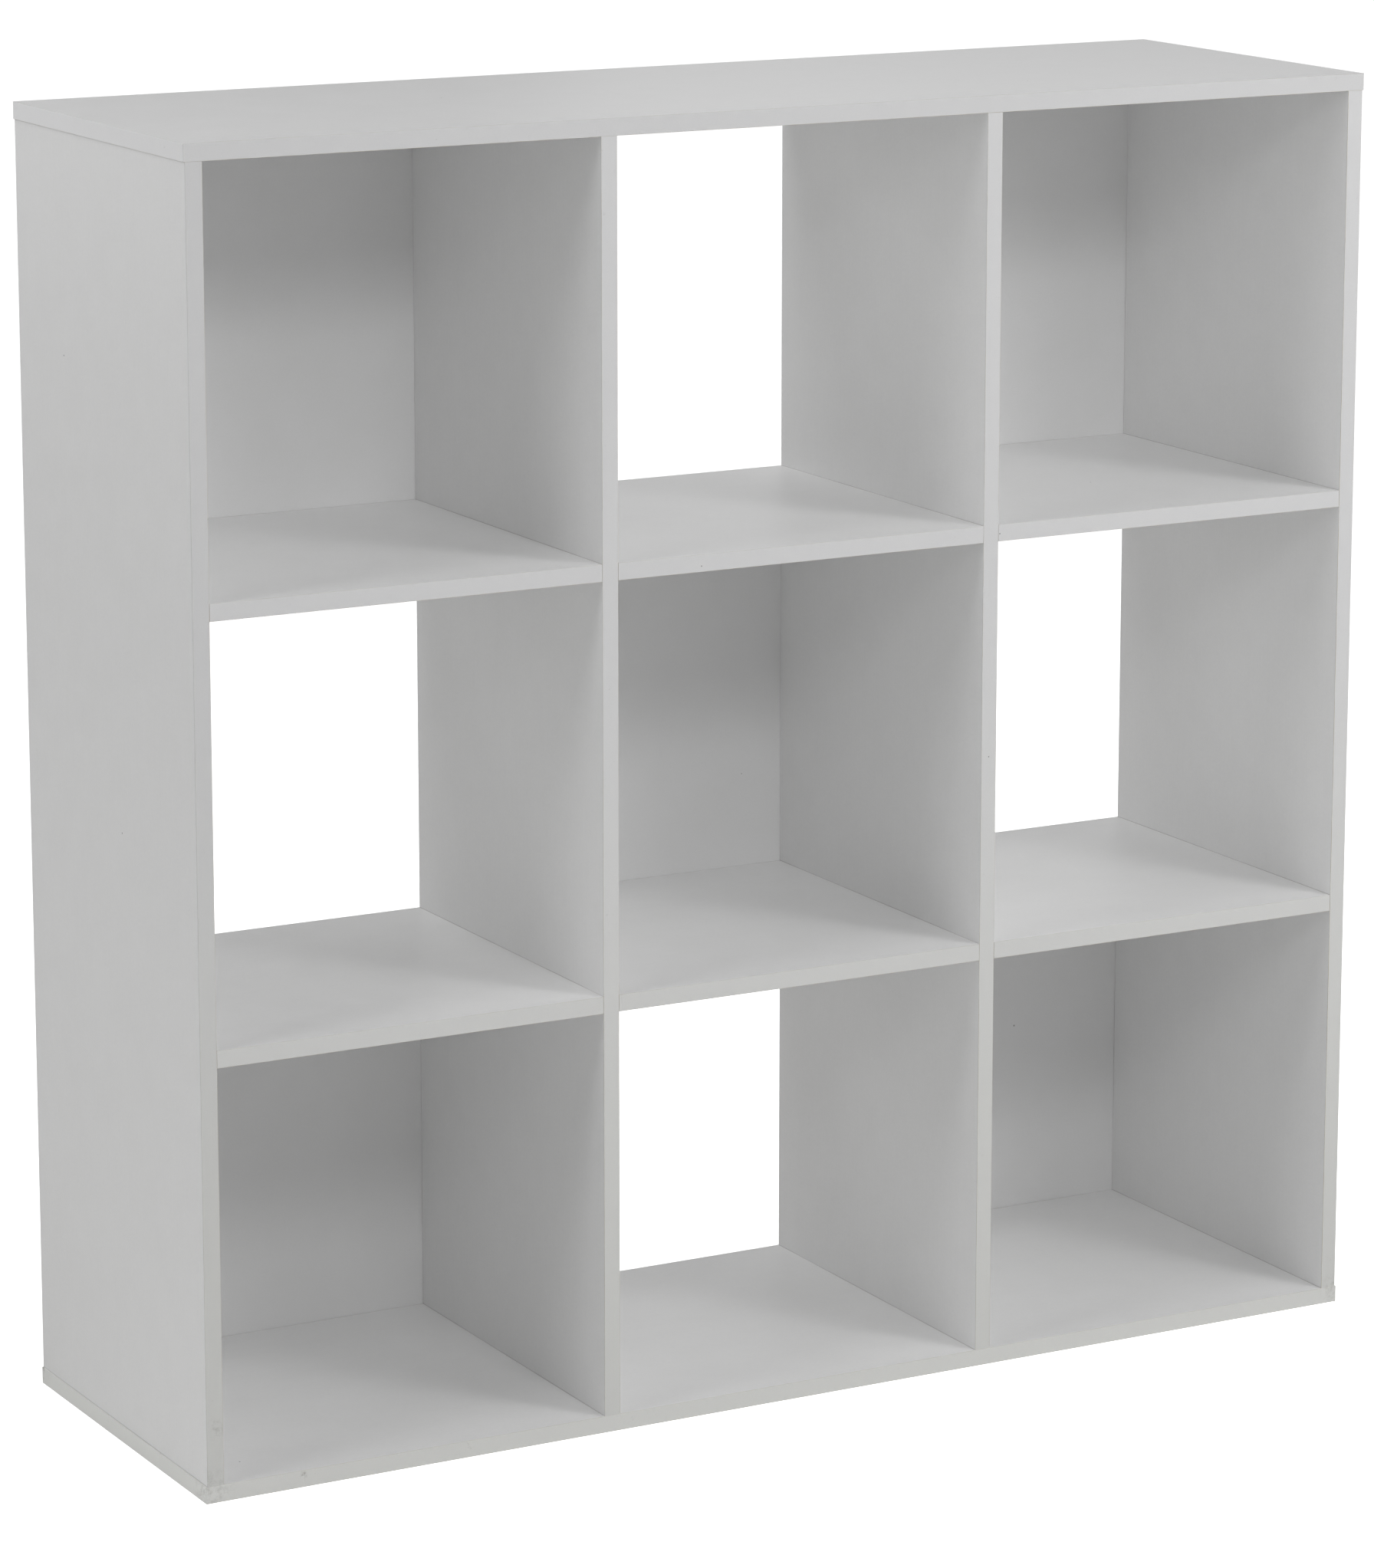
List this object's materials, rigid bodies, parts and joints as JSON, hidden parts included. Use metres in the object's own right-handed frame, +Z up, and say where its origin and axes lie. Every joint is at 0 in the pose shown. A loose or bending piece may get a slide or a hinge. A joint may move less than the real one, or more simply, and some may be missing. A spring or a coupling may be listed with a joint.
{
  "type": "cube storage unit",
  "caption": "White square storage unit of equal open cells, backed in a chequer pattern so that the rest are open right through.",
  "frame": {"origin": "centre of the base, on the floor", "axes": "+Z up, -Y the front that the shelf edges face, +X to the right seen from the front"},
  "size_m": [0.914, 0.2894, 0.912],
  "materials": {
    "melamine_board": "white melamine-faced chipboard, satin",
    "white_edging": "white melamine edging, satin",
    "hardboard": "thin hardboard, white on the front",
    "nail_steel": "bright wire nail",
    "cam_zinc": "die-cast zinc alloy",
    "cap_plastic": "white moulded plastic",
    "bright_steel": "zinc plated",
    "dowel_wood": "plain beech",
    "zinc_plate": "zinc plated pressed steel"
  },
  "bodies": {
    "root": {"back_centre": "hardboard", "back_lower_left": "hardboard", "back_lower_right": "hardboard", "back_nails": "nail_steel", "back_upper_left": "hardboard", "back_upper_right": "hardboard", "base_screws": "bright_steel", "bottom_end_edging": "white_edging", "bottom_front_edging": "white_edging", "bottom_panel": "melamine_board", "cam_caps": "cap_plastic", "divider_cam_bolts": "bright_steel", "divider_dowels": "dowel_wood", "left_divider": "melamine_board", "left_divider_edging": "white_edging", "left_side_edging": "white_edging", "left_side_panel": "melamine_board", "right_divider": "melamine_board", "right_divider_edging": "white_edging", "right_side_edging": "white_edging", "right_side_panel": "melamine_board", "shelf_cam_locks": "cam_zinc", "shelf_lower_left": "melamine_board", "shelf_lower_left_edging": "white_edging", "shelf_lower_middle": "melamine_board", "shelf_lower_middle_edging": "white_edging", "shelf_lower_right": "melamine_board", "shelf_lower_right_edging": "white_edging", "shelf_upper_left": "melamine_board", "shelf_upper_left_edging": "white_edging", "shelf_upper_middle": "melamine_board", "shelf_upper_middle_edging": "white_edging", "shelf_upper_right": "melamine_board", "shelf_upper_right_edging": "white_edging", "side_cam_bolts": "bright_steel", "side_dowels": "dowel_wood", "top_cam_bolts": "bright_steel", "top_end_edging": "white_edging", "top_front_edging": "white_edging", "top_panel": "melamine_board", "upright_cam_locks": "cam_zinc", "upright_dowels": "dowel_wood", "wall_angle_screws": "bright_steel", "wall_angles": "zinc_plate"}
  },
  "joints": []
}
